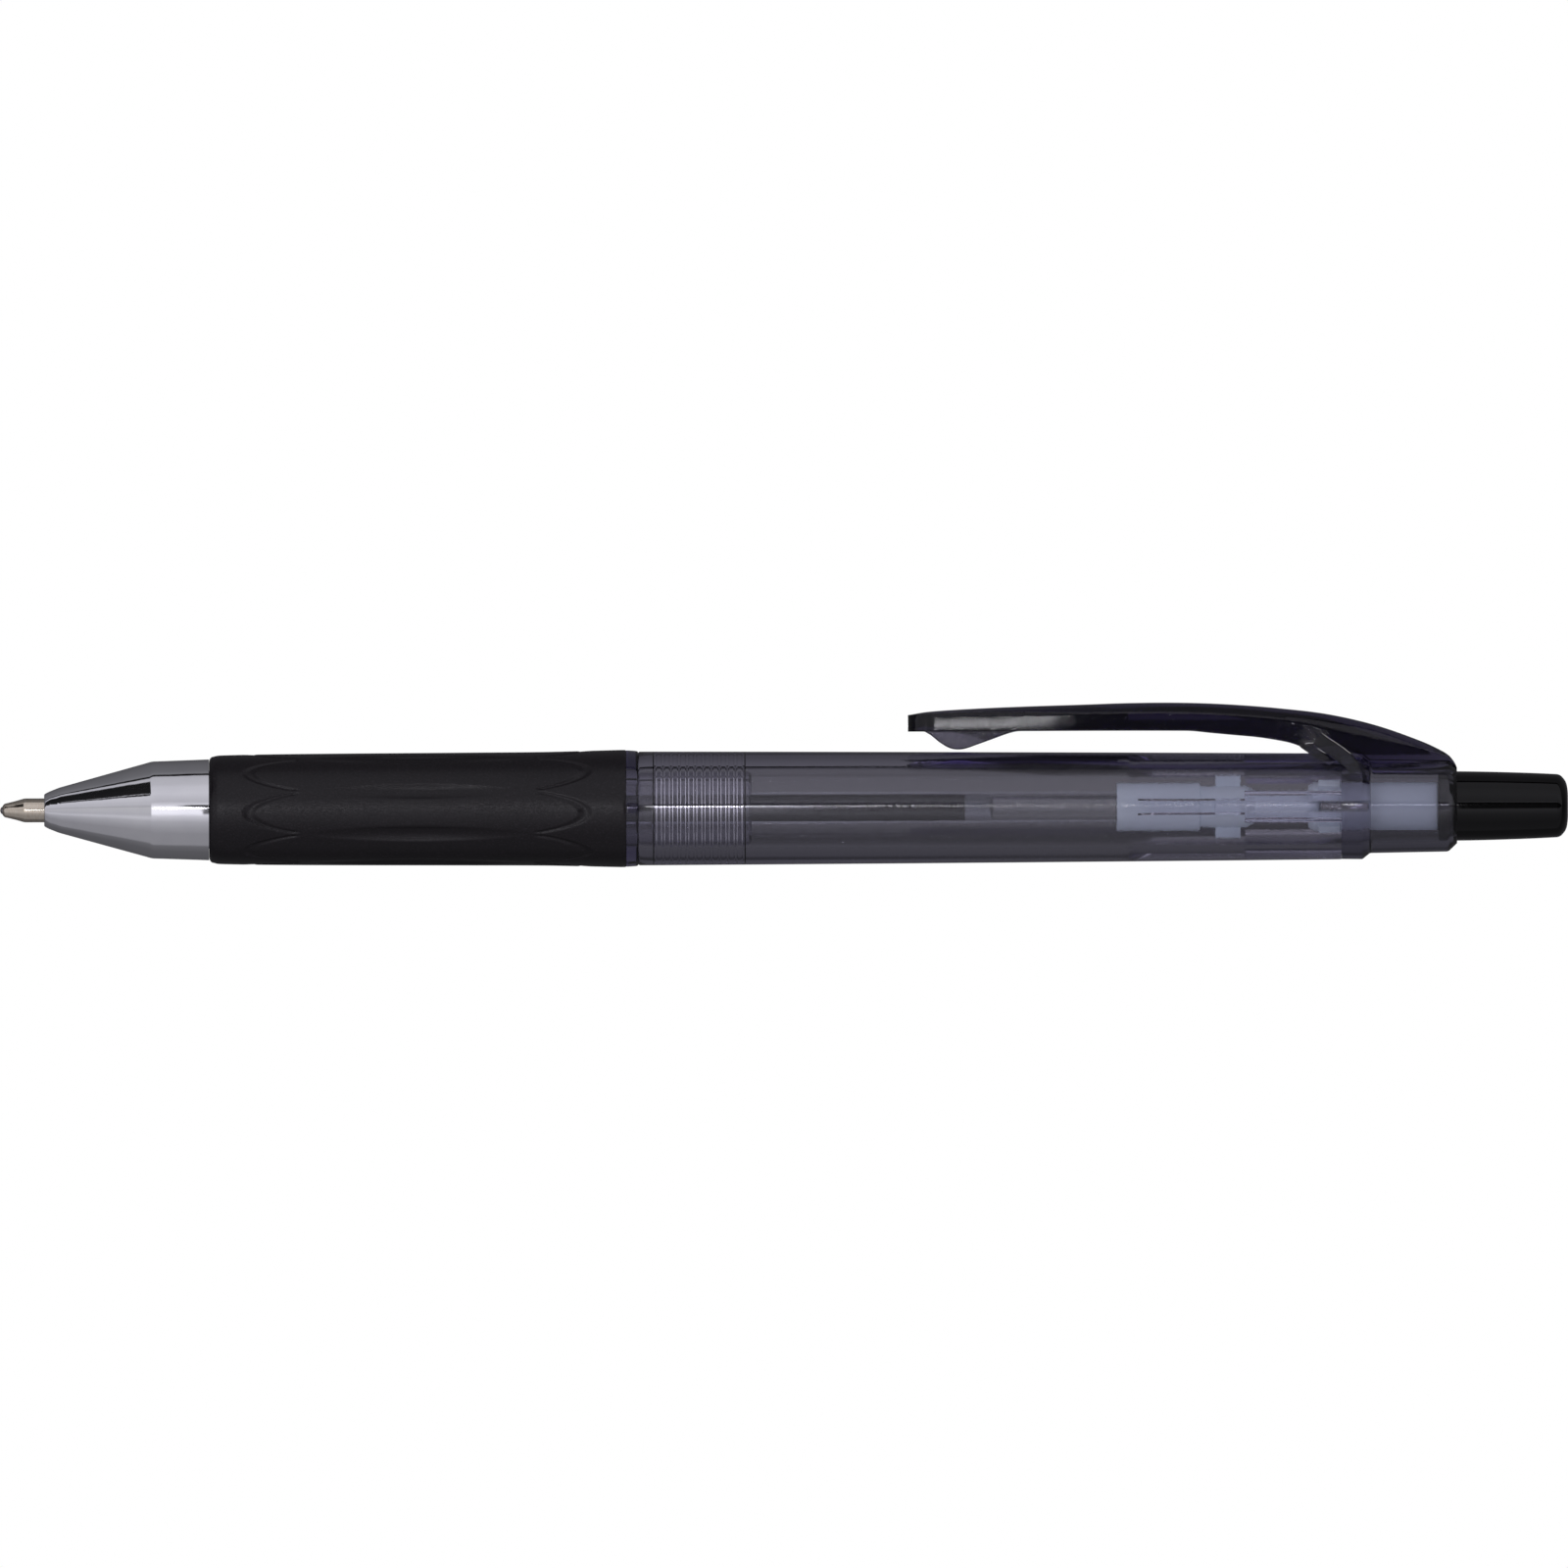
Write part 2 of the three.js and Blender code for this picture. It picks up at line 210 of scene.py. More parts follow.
# ---- materials ------------------------------------------------------------------------------


class Nodes:
    """A short way to wire a material's node tree."""

    def __init__(self, name):
        self.mat = bpy.data.materials.new(name)
        self.mat.use_nodes = True
        self.tree = self.mat.node_tree
        self.bsdf = self.tree.nodes["Principled BSDF"]
        self.out = self.tree.nodes["Material Output"]
        self.coord = self.tree.nodes.new("ShaderNodeTexCoord")

    def node(self, kind, **values):
        n = self.tree.nodes.new(kind)
        for key, value in values.items():
            if isinstance(key, str) and key in n.inputs:
                n.inputs[key].default_value = value
            else:
                setattr(n, key, value)
        return n

    def link(self, a, b):
        self.tree.links.new(a, b)

    def set(self, **values):
        names = {"color": "Base Color", "metallic": "Metallic", "roughness": "Roughness", "ior": "IOR",
                 "transmission": "Transmission Weight", "specular": "Specular IOR Level"}
        for key, value in values.items():
            self.bsdf.inputs[names[key]].default_value = value
        return self

    def noise(self, scale, detail=3.0, stretch=(1, 1, 1)):
        mapping = self.node("ShaderNodeMapping")
        mapping.inputs["Scale"].default_value = stretch
        self.link(self.coord.outputs["Object"], mapping.inputs["Vector"])
        tex = self.node("ShaderNodeTexNoise")
        tex.inputs["Scale"].default_value = scale
        tex.inputs["Detail"].default_value = detail
        self.link(mapping.outputs["Vector"], tex.inputs["Vector"])
        return tex.outputs["Fac"]

    def ramp(self, source, stops):
        ramp = self.node("ShaderNodeValToRGB")
        elements = ramp.color_ramp.elements
        elements[0].position, elements[0].color = stops[0][0], (*stops[0][1], 1)
        elements[1].position, elements[1].color = stops[-1][0], (*stops[-1][1], 1)
        for pos, color in stops[1:-1]:
            e = elements.new(pos)
            e.color = (*color, 1)
        self.link(source, ramp.inputs["Fac"])
        return ramp.outputs["Color"]

    def span(self, source, lo, hi, out_lo, out_hi):
        n = self.node("ShaderNodeMapRange")
        for key, value in zip(("From Min", "From Max", "To Min", "To Max"), (lo, hi, out_lo, out_hi)):
            n.inputs[key].default_value = value
        self.link(source, n.inputs["Value"])
        return n.outputs["Result"]

    def math(self, operation, a, b):
        n = self.node("ShaderNodeMath", operation=operation)
        for socket, value in zip(n.inputs, (a, b)):
            if isinstance(value, (int, float)):
                socket.default_value = value
            else:
                self.link(value, socket)
        return n.outputs["Value"]

    def bump(self, height, distance, strength=1.0):
        n = self.node("ShaderNodeBump", Strength=strength, Distance=distance)
        self.link(height, n.inputs["Height"])
        self.link(n.outputs["Normal"], self.bsdf.inputs["Normal"])
        return n


def chrome():
    m = Nodes("bright_plate").set(color=(0.93, 0.93, 0.96, 1), metallic=1.0, roughness=0.05)
    haze = m.noise(900, 4)
    m.link(m.span(haze, 0.35, 0.75, 0.03, 0.09), m.bsdf.inputs["Roughness"])
    m.link(m.ramp(m.noise(350, 2), [(0.3, (0.90, 0.90, 0.93)), (0.7, (0.96, 0.96, 0.98))]),
           m.bsdf.inputs["Base Color"])
    m.bump(m.noise(1400, 3, (0.25, 1, 1)), 0.000006)
    return m.mat


def point_metal():
    m = Nodes("nickel_silver").set(metallic=1.0)
    m.link(m.ramp(m.noise(2500, 3, (3, 1, 1)), [(0.3, (0.80, 0.70, 0.56)), (0.7, (0.92, 0.84, 0.71))]),
           m.bsdf.inputs["Base Color"])
    m.link(m.span(m.noise(6000, 2), 0.3, 0.7, 0.11, 0.15), m.bsdf.inputs["Roughness"])
    m.bump(m.noise(9000, 2, (4, 0.3, 0.3)), 0.000001)
    return m.mat


def steel(name, low, high, rough):
    m = Nodes(name).set(metallic=1.0)
    m.link(m.ramp(m.noise(3000, 3), [(0.3, low), (0.7, high)]), m.bsdf.inputs["Base Color"])
    m.link(m.span(m.noise(5000, 2), 0.3, 0.7, rough * 0.7, rough * 1.4), m.bsdf.inputs["Roughness"])
    m.bump(m.noise(8000, 2), 0.000004)
    return m.mat


def rubber():
    m = Nodes("grip_rubber").set(specular=0.44)
    m.link(m.ramp(m.noise(5500, 3), [(0.35, (0.0046, 0.0026, 0.0048)), (0.58, (0.0082, 0.0052, 0.0085)),
                                     (0.75, (0.020, 0.016, 0.021))]),
           m.bsdf.inputs["Base Color"])
    m.link(m.span(m.noise(2600, 3), 0.3, 0.7, 0.30, 0.38), m.bsdf.inputs["Roughness"])
    m.bump(m.noise(5200, 4), 0.00002, 0.7)
    return m.mat


def clear_plastic(name, density, tint, scuffs=(0.0, 0.0)):
    """Clear smoky moulding: real walls, with the smoke taken up by depth. Fine handling marks glint
    in the skin, light near the grip and heavier towards the far end."""
    m = Nodes(name).set(color=(1, 1, 1, 1), transmission=1.0, ior=1.5, roughness=0.0)
    if scuffs[1]:
        split = m.node("ShaderNodeSeparateXYZ")
        m.link(m.coord.outputs["Object"], split.inputs["Vector"])
        wear = m.span(split.outputs["X"], -0.004, 0.022, scuffs[0], scuffs[1])
        marks = m.math("MULTIPLY", m.span(m.noise(6500, 2, (0.7, 1, 1)), 0.40, 0.70, 0, 1), wear)
        m.bump(marks, 0.0000026)
    else:
        m.bump(m.noise(1500, 2), 0.00000012)
    depth = m.node("ShaderNodeVolumeAbsorption", Density=density)
    depth.inputs["Color"].default_value = (*tint, 1)
    m.link(depth.outputs["Volume"], m.out.inputs["Volume"])
    return m.mat


def white_plastic():
    m = Nodes("white_moulding").set(roughness=0.35, specular=0.15)
    m.link(m.ramp(m.noise(300, 3), [(0.3, (0.79, 0.89, 0.96)), (0.7, (0.83, 0.93, 0.99))]),
           m.bsdf.inputs["Base Color"])
    m.link(m.span(m.noise(3000, 2), 0.3, 0.7, 0.3, 0.45), m.bsdf.inputs["Roughness"])
    m.bump(m.noise(4000, 2), 0.00001)
    return m.mat


def black_gloss():
    m = Nodes("black_gloss").set(specular=0.34)
    m.link(m.ramp(m.noise(500, 3), [(0.3, (0.0012, 0.0010, 0.0012)), (0.7, (0.0022, 0.0019, 0.0022))]),
           m.bsdf.inputs["Base Color"])
    m.link(m.span(m.noise(1800, 4), 0.35, 0.75, 0.03, 0.08), m.bsdf.inputs["Roughness"])
    m.bump(m.noise(2500, 3), 0.000002)
    return m.mat


def ink():
    m = Nodes("dark_ink").set(roughness=0.2)
    streaks = m.noise(800, 2, (0.1, 1, 1))
    m.link(m.ramp(streaks, [(0.3, (0.004, 0.004, 0.007)), (0.7, (0.012, 0.012, 0.018))]),
           m.bsdf.inputs["Base Color"])
    return m.mat


MAT = {
    "chrome": chrome(),
    "point": point_metal(),
    "ball": steel("ball_steel", (0.32, 0.31, 0.32), (0.50, 0.49, 0.50), 0.18),
    "spring": steel("spring_wire", (0.50, 0.50, 0.52), (0.66, 0.66, 0.68), 0.25),
    "rubber": rubber(),
    "barrel": clear_plastic("smoky_barrel", 250, (0.61, 0.575, 0.78), (0.0, 1.0)),
    "front": clear_plastic("smoky_front", 360, (0.61, 0.58, 0.76)),
    "cap": clear_plastic("smoky_cap", 560, (0.50, 0.48, 0.66), (0.2, 0.2)),
    "clip": clear_plastic("smoky_clip", 1150, (0.52, 0.47, 0.68), (0.7, 0.7)),
    "tube": clear_plastic("refill_tube", 110, (0.55, 0.60, 0.75)),
    "follower": clear_plastic("grease", 200, (0.35, 0.45, 0.75)),
    "white": white_plastic(),
    "holder": white_plastic(),
    "button": black_gloss(),
    "ink": ink(),
}


def dress(obj, key, body, node):
    """Give a piece its material, hide the CAD node it stands for and hang it on the body it rides on."""
    obj.data.materials.clear()
    obj.data.materials.append(MAT[key])
    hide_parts(node)
    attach(obj, body)


# ---- nose, point and grip ------------------------------------------------------------------


def nose_cone():
    outer = rounded([
        (4.05, 1.24, 0.03), (4.05, 1.47, 0.14), (4.45, 1.69, 0.2), (5.4, 2.07, 0.3),
        (13.55, 4.335, 0.28), (13.95, 4.45, 0.25), (19.19, 4.63, 0.03), (19.19, 3.6, 0.0),
        (13.9, 3.6, 0.0), (13.9, 2.2, 0.0), (8.2, 2.2, 0.0), (8.2, 1.24, 0.0)], 6)
    return turned("nose", outer, 192)


def tip_socket():
    cup = [(0.4 - 0.43 * math.cos(math.radians(a)), 0.43 * math.sin(math.radians(a)))
           for a in (140, 125, 110, 95, 80, 65)]
    outer = rounded([
        (0.25, 0.42, 0.0), (0.27, 0.47, 0.03), (0.42, 0.62, 0.06), (0.9, 0.735, 0.2), (1.44, 0.865, 0.2),
        (2.2, 1.09, 0.12), (2.4, 1.1, 0.1), (11.95, 1.1, 0.05), (11.95, 0.9, 0.0), (15.2, 0.9, 0.0),
        (15.2, cup[0][1], 0.0)], 4)
    return turned("point", outer + cup, 96)


def writing_ball():
    rings = [(0.4 - 0.4 * math.cos(math.pi * i / 20), 0.4 * math.sin(math.pi * i / 20) if 0 < i < 20 else 0)
             for i in range(21)]
    return turned("ball", rings, 48, closed=False)


GRIP = [(19.2, 4.9), (20.5, 5.0), (27, 5.1), (43, 5.18), (50, 5.22), (54, 5.31), (56.9, 5.38), (57.5, 5.38)]
ARCH_CENTRE, ARCH_HALF, ARCH_SPREAD = 38.3, 16.1, 31.2
ARCHES, ARCH_PITCH, ARCH_TILT = 8, 45.0, -3.8
FLUTE_DEPTH, BAND_DEPTH, BAND = 0.30, 0.12, 0.08
OVERLAP_PEAK = 0.078  # how far inside both arches a flute's middle is, as a product of the two


def grip_carving(x, angle):
    """How deep the grip is cut at a station and angle: hollows where neighbouring long arches overlap,
    and a shallow groove along each arch's end."""
    along = (x - ARCH_CENTRE) / ARCH_HALF
    near = []
    for k in range(ARCHES):
        d = (math.degrees(angle) - ARCH_TILT - k * ARCH_PITCH + 180) % 360 - 180
        if abs(d) < ARCH_SPREAD * 1.3:
            near.append(math.hypot(along, d / ARCH_SPREAD))
    near.sort()
    if not near or near[0] >= 1:
        return 0.0
    second = near[1] if len(near) > 1 else 9.0
    if second < 1:
        return FLUTE_DEPTH * (1 - near[0]) * (1 - second) / OVERLAP_PEAK
    depth = 0.0
    mid = 1 - BAND / 2
    t = (near[0] - mid) / (BAND / 2)
    if abs(t) < 1:
        depth = BAND_DEPTH * (1 - t * t) ** 1.2 * smooth(1.0, 1.07, second)
    return depth


def rubber_grip():
    nx, count = 232, 360
    rows = []
    x0, x1 = 19.45, 57.35
    ends = rounded([(19.2, 4.0, 0.0), (19.2, 4.55, 0.25), (19.45, 4.93, 0.0)], 5)
    for x, r in ends[:-1]:
        rows.append((x, r))
    for i in range(nx + 1):
        x = x0 + (x1 - x0) * i / nx
        edge = 0.07 * (1 - smooth(19.45, 20.0, x))
        base = interp(GRIP, x) - edge
        if 21.5 < x < 55.2:
            rows.append((x, (lambda a, x=x, base=base: base - grip_carving(x, a))))
        else:
            rows.append((x, base))
    rows += [(57.45, 5.36), (57.5, 5.32), (57.5, 3.9)]
    return turned("grip", rows, count, sharp=50)


# ---- barrels -------------------------------------------------------------------------------

THREADS = [60.0 + 0.74 * i for i in range(12)]  # plain rings stand for the screw thread
TENON_R, CREST_R = 3.4, 3.58
BORE_R, GROOVE_R = 3.73, 3.85


def front_barrel():
    rings = [(14.0, 3.57), (19.25, 3.57), (19.25, 3.97), (57.49, 3.97), (57.49, 5.3), (57.52, 5.34),
             (57.6, 5.345), (58.3, 5.3), (58.5, 5.27), (58.58, 5.22), (58.62, 5.12), (58.62, 3.38)]
    for x in THREADS:
        rings += [(x, TENON_R), (x + 0.08, CREST_R), (x + 0.2, CREST_R), (x + 0.28, TENON_R)]
    rings += [(68.75, TENON_R), (69.0, 3.15), (69.0, 2.4), (14.0, 2.4)]
    return turned("front_shell", rings, 144)


GUIDE_R, RAIL_R, STOP_R = 3.5, 2.9, 2.38


def guide(rail, stop):
    """The guide's bore at one station: a rail on each quarter turn that stands in by rail, and a pair
    of stops beside it that stand in by stop, with a channel for the rotor's vane between them."""
    def radius(angle):
        d = abs((math.degrees(angle) + 45) % 90 - 45)
        r = GUIDE_R - rail * (1 - smooth(9.6, 10.6, d))
        if stop:
            r = min(r, GUIDE_R - stop * smooth(8.9, 9.6, d) * (1 - smooth(20.2, 21.2, d)))
        return r
    return radius


def rear_barrel():
    taper = [(x, 5.225 - 0.0035 * (x - 58.7) - 0.0000325 * (x - 58.7) ** 2) for x in range(60, 123, 3)]
    rings = [(58.61, 5.12), (58.66, 5.18), (58.74, 5.22), *taper, (123.12, 4.86), (123.18, 4.83)]
    rings += [(123.2, 3.56), (125.8, 3.55), (125.8, STOP_R)]
    rail, stop = GUIDE_R - RAIL_R, GUIDE_R - STOP_R
    rings += [(123.25, STOP_R), (123.2, guide(rail, stop)), (114.35, guide(rail, stop)),
              (114.3, guide(rail, 0.35)), (114.28, guide(rail, 0)), (106.0, guide(rail, 0)),
              (105.6, guide(rail * 0.72, 0)), (104.5, guide(0.04, 0)), (104.3, GUIDE_R),
              (103.7, 3.71), (103.5, BORE_R), (70.0, BORE_R)]
    for x in reversed(THREADS):
        rings += [(x + 0.32, BORE_R), (x + 0.22, GROOVE_R), (x + 0.06, GROOVE_R), (x - 0.04, BORE_R)]
    rings.append((58.61, BORE_R))
    return turned("rear_shell", rings, 360)


# ---- clip and cap --------------------------------------------------------------------------

CLIP_TOP = [(83.4, 8.5), (85.3, 8.8), (89.6, 9.07), (94, 9.25), (99.4, 9.41), (104, 9.55), (109, 9.55),
            (113.4, 9.36), (117.7, 9.0), (122, 8.46), (126.4, 7.43), (130.7, 5.9), (132.6, 4.98),
            (133.1, 4.62), (133.4, 4.28), (133.6, 3.98), (133.72, 3.75), (133.8, 3.52)]
CLIP_BOTTOM = [(83.4, 6.98), (109, 6.98), (111.2, 6.78), (113.4, 6.57), (115.6, 6.36), (117.7, 6.02),
               (118.8, 5.75), (119.9, 5.3), (120.9, 4.7), (122, 4.0), (133.3, 3.4), (133.8, 3.2)]
CLIP_RISE = [(83.4, 0.08), (85, 0.15), (90, 0.35), (97, 0.6), (104, 0.78), (113, 0.85), (120, 1.0),
             (126, 1.4), (131, 0.9), (133.3, 0.35), (133.8, 0.12)]
CLIP_HALF = [(85.6, 2.28), (91, 2.34), (96, 2.36), (99, 2.32), (104, 2.19), (112, 1.97), (119, 1.8),
             (123, 1.75), (126.4, 1.55), (130, 1.3), (132, 1.1), (133.3, 0.85), (133.8, 0.6)]
CLIP_START, TIP_ROUND = 83.4, 2.15


def clip_arm():
    xs = [CLIP_START + TIP_ROUND * (1 - math.cos(math.pi / 2 * i / 14)) for i in range(15)]
    xs += list(np.linspace(xs[-1] + 0.5, 131.8, 90))
    xs += [132.2, 132.6, 132.9, 133.1, 133.3, 133.45, 133.6, 133.7, 133.8]  # closer, for the round tail
    rings = []
    for x in xs:
        half = interp(CLIP_HALF, x)
        if x < CLIP_START + TIP_ROUND:
            u = (CLIP_START + TIP_ROUND - x) / TIP_ROUND
            half = max(TIP_ROUND * math.sqrt(max(0.0, 1 - u**2.3)), 0.35)
        top, bottom, rise = interp(CLIP_TOP, x), interp(CLIP_BOTTOM, x), interp(CLIP_RISE, x)
        rise *= min(1.0, half / 2.0)
        draft = 0.06 * (1 - smooth(92, 103, x))
        edge = min(0.12, half * 0.3)
        side_top = top - rise - 0.05
        ring = []
        for i in range(3):
            a = math.pi / 2 * i / 2
            ring.append((x, half - edge * (1 - math.sin(a)), bottom + edge * (1 - math.cos(a))))
        low, high = bottom + edge + 0.03, side_top - 0.06
        face = []
        for t in (0, 0.2, 0.4, 0.6, 0.8, 1):
            face.append((half - draft * t * (0.35 + 0.65 * t), low + (high - low) * t))
        ring += [(x, y, z) for y, z in face]
        for i in range(17):
            s = 1 - 2 * i / 16
            ring.append((x, (half - draft) * s * 0.985, top - rise * abs(s) ** 2.2))
        ring += [(x, -y, z) for y, z in reversed(face)]
        for i in range(2, -1, -1):
            a = math.pi / 2 * i / 2
            ring.append((x, -half + edge * (1 - math.sin(a)), bottom + edge * (1 - math.cos(a))))
        rings.append(ring)
    return loft("clip_arm", rings)


PAD_DROP = [(84.9, 0.0), (85.5, 0.35), (86.3, 1.0), (87.1, 1.48), (87.8, 1.66), (88.6, 1.6), (89.8, 1.2),
            (91.4, 0.63), (92.6, 0.2), (93.4, 0.0)]


def clip_pad():
    """The plain rib under the arm's tip that grips a pocket."""
    rings = []
    for x in np.linspace(84.95, 93.35, 44):
        drop = max(interp(PAD_DROP, x), 0.012)
        low, half, edge = 6.99 - drop, 0.6, min(0.12, drop * 0.5)
        side = [(half, 7.2), (half, low + edge), (half - edge, low)]
        ring = [(x, -y, z) for y, z in side] + [(x, y, z) for y, z in reversed(side)]
        rings.append(ring)
    return loft("pad", rings)


# rows of x, then the web's half width and height at its foot and at its head
WEB = [(119.4, 1.9, 5.45, 2.1, 6.1), (120.4, 2.45, 4.75, 2.15, 6.1), (121.4, 2.95, 4.1, 2.15, 6.0),
       (122.4, 3.3, 3.65, 2.05, 5.9), (123.4, 3.5, 3.3, 1.95, 5.7), (124.4, 3.5, 3.2, 1.8, 5.3),
       (125.3, 3.2, 3.2, 1.6, 4.8)]


def clip_web():
    """The solid throat that joins the arm's underside to the cap."""
    rings = []
    tables = [[(row[0], row[i]) for row in WEB] for i in range(1, 5)]
    for x in np.linspace(WEB[0][0], WEB[-1][0], 26):
        wb, zb, wt, zt = (interp(t, x) for t in tables)
        side = []
        for i in range(9):
            t = i / 8
            side.append((wb + (wt - wb) * t - 0.35 * math.sin(math.pi * t) * max(0.0, wb - wt),
                         zb + (zt - zb) * t))
        ring = [(x, w, z) for w, z in side] + [(x, -w, z) for w, z in reversed(side)]
        rings.append(ring)
    return loft("web", rings)


# rows of x, z and half width along the rib's middle line
RIB = [(124.5, 2.6, 3.86), (124.42, 3.2, 3.72), (124.15, 3.8, 3.45), (123.6, 4.35, 3.15),
       (122.95, 4.85, 2.85), (122.3, 5.3, 2.6), (121.6, 5.75, 2.35), (121.0, 6.2, 2.2)]
RIB_HALF_BREADTH = 0.66


def clip_rib(grow=0.0):
    """The raised band on each side that sweeps from the cap's collar up into the clip."""
    rings = []
    for i, (x, z, half) in enumerate(RIB):
        x0, z0 = RIB[max(i - 1, 0)][:2]
        x1, z1 = RIB[min(i + 1, len(RIB) - 1)][:2]
        length = math.hypot(x1 - x0, z1 - z0)
        breadth = (RIB_HALF_BREADTH + grow) / length
        nx, nz = (z1 - z0) * breadth, -(x1 - x0) * breadth
        ring = []
        for s, w in ((-1, -0.12), (-0.86, 0.0), (0.86, 0.0), (1, -0.12)):
            ring.append((x + nx * s, half + w + grow, z + nz * s))
        ring += [(px, -py, pz) for px, py, pz in reversed(ring)]
        rings.append(ring)
    return loft("rib", rings)


def cap():
    body = turned("cap", rounded([
        (123.19, 3.6, 0.0), (123.19, 4.84, 0.03), (125.1, 4.86, 0.08), (125.8, 4.3, 0.1),
        (133.0, 4.18, 0.2), (133.8, 3.42, 0.05), (133.8, 3.27, 0.0), (126.0, 3.38, 0.0),
        (126.0, 3.6, 0.0)], 4), 192)
    inner = turned("inner", [(119, 0), (119, 4.2), (135, 4.2), (135, 0)], 96, closed=False)
    rib = combine(clip_rib(), [inner], "DIFFERENCE")
    return combine(body, [rib], "UNION")


def clip():
    body = combine(clip_arm(), [clip_web(), clip_pad()], "UNION")
    room = turned("room", [
        (100, 0), (100, 5.06), (123.1, 4.94), (123.19, 4.87), (125.1, 4.88), (125.82, 4.32), (133.02, 4.2),
        (133.82, 3.36), (134.5, 2.8), (134.5, 0)], 192, closed=False)
    combine(body, [room], "DIFFERENCE")
    return combine(body, [clip_rib(0.015)], "DIFFERENCE")


# ---- refill and mechanism ------------------------------------------------------------------

TUBE_R, TUBE_BORE = 1.44, 0.81
SPRING_START, SPRING_END = 8.45, 22.45


def refill_tube():
    return turned("tube", [(24.3, TUBE_R), (107.8, TUBE_R), (107.8, TUBE_BORE), (24.3, TUBE_BORE)], 96)


def column(name, x0, x1, bow0=0.0, bow1=0.0):
    r = TUBE_BORE + 0.01  # wets the tube's wall
    rings = [(x0 + bow0, 0)] + [(x0 + bow0 * (1 - t * t), r * t) for t in (0.35, 0.7, 0.9)] + [(x0, r)]
    rings += [(x1, r)] + [(x1 + bow1 * (1 - t * t), r * t) for t in (0.9, 0.7, 0.35)] + [(x1 + bow1, 0)]
    return turned(name, rings, 64, closed=False)


def return_spring():
    """Wire spring from the nose's seat to the tip holder's flange, with closed coils at both ends."""
    coil, wire, turns, dead = 1.8, 0.16, 10, 1.1
    closed = 2 * wire + 0.06
    pitch = (SPRING_END - SPRING_START - 2 * wire - 2 * dead * closed) / (turns - 2 * dead)
    rings = []
    for i in range(turns * 36 + 1):
        t = i / 36
        x = SPRING_START + wire + closed * min(t, dead) + pitch * min(max(t - dead, 0), turns - 2 * dead)
        x += closed * max(t - turns + dead, 0)
        ring = []
        for k in range(10):
            r = coil + wire * math.cos(TAU * k / 10)
            ring.append((x + wire * math.sin(TAU * k / 10), r * math.sin(TAU * t), r * math.cos(TAU * t)))
        rings.append(ring)
    return loft("spring", rings)


def rotor():
    body = turned("rotor", rounded([
        (102.6, 1.47, 0.0), (102.6, 2.2, 0.06), (110.15, 2.2, 0.04), (110.2, 1.9, 0.0), (114.5, 1.9, 0.15),
        (115.2, 1.46, 0.1), (115.3, 1.44, 0.0), (120.8, 1.44, 0.2), (121.0, 1.2, 0.0), (121.0, 0, 0.0)], 4)
        + [(108.0, 0), (108.0, 1.47)], 96)
    vanes = [sector("vane", 111.6, 113.9, 1.6, 2.86, a, 16) for a in (0, 90, 180, 270)]
    return combine(body, vanes, "UNION")


def thrust():
    body = turned("thrust", rounded([
        (120.1, 1.94, 0.0), (120.1, 2.0, 0.03), (120.6, 2.29, 0.12), (122.7, 2.29, 0.12),
        (123.1, 2.1, 0.08), (123.3, 2.1, 0.05), (123.5, 2.2, 0.05), (131.95, 2.2, 0.06),
        (132.0, 2.0, 0.0), (137.0, 2.0, 0.0), (137.0, 0, 0.0)], 4)
        + [(133.0, 0), (133.0, 1.6), (125.2, 1.6), (125.2, 1.94)], 96)
    gaps = [sector("gap", 119.0, 125.1, 1.7, 3.0, a, 23) for a in (0, 90, 180, 270)]
    combine(body, gaps, "DIFFERENCE")
    keys = [sector("key", 121.0, 122.8, 2.1, 2.84, a, 15) for a in (45, 135, 225, 315)]
    return combine(body, keys, "UNION")


def push_button():
    profile = rounded([
        (132.03, 2.03, 0.0), (132.03, 3.08, 0.1), (132.2, 3.2, 0.1), (136.0, 3.16, 2.0), (140.4, 3.03, 2.0),
        (143.25, 2.89, 0.35), (143.85, 2.2, 0.6), (144.0, 1.2, 0.3), (144.0, 0, 0.0)], 8)
    return turned("push_button", profile + [(137.1, 0), (137.1, 2.03)], 160)


dress(nose_cone(), "chrome", "barrel", "nose_cone")
dress(tip_socket(), "point", "refill", "tip_socket")
dress(writing_ball(), "ball", "ball", "writing_ball")
dress(rubber_grip(), "rubber", "barrel", "rubber_grip")
dress(front_barrel(), "front", "barrel", "front_barrel")
dress(rear_barrel(), "barrel", "barrel", "rear_barrel")
dress(cap(), "cap", "barrel", "clip_cap")
dress(clip(), "clip", "barrel", "clip_cap")
dress(refill_tube(), "tube", "refill", "refill_tube")
dress(column("ink_fill", 27.05, 88.62), "ink", "refill", "ink_column")
dress(column("follower", 88.66, 91.2, 0.0, -0.3), "follower", "refill", "ink_follower")
dress(rotor(), "white", "rotor", "rotor_cam")
dress(thrust(), "white", "knock", "thrust_tube")
dress(push_button(), "button", "knock", "button")
spring = return_spring()
spring.data.materials.append(MAT["spring"])
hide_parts("return_spring")
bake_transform(spring)
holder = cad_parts["tip_holder"]
holder.data.materials.clear()
holder.data.materials.append(MAT["holder"])

# ---- studio --------------------------------------------------------------------------------


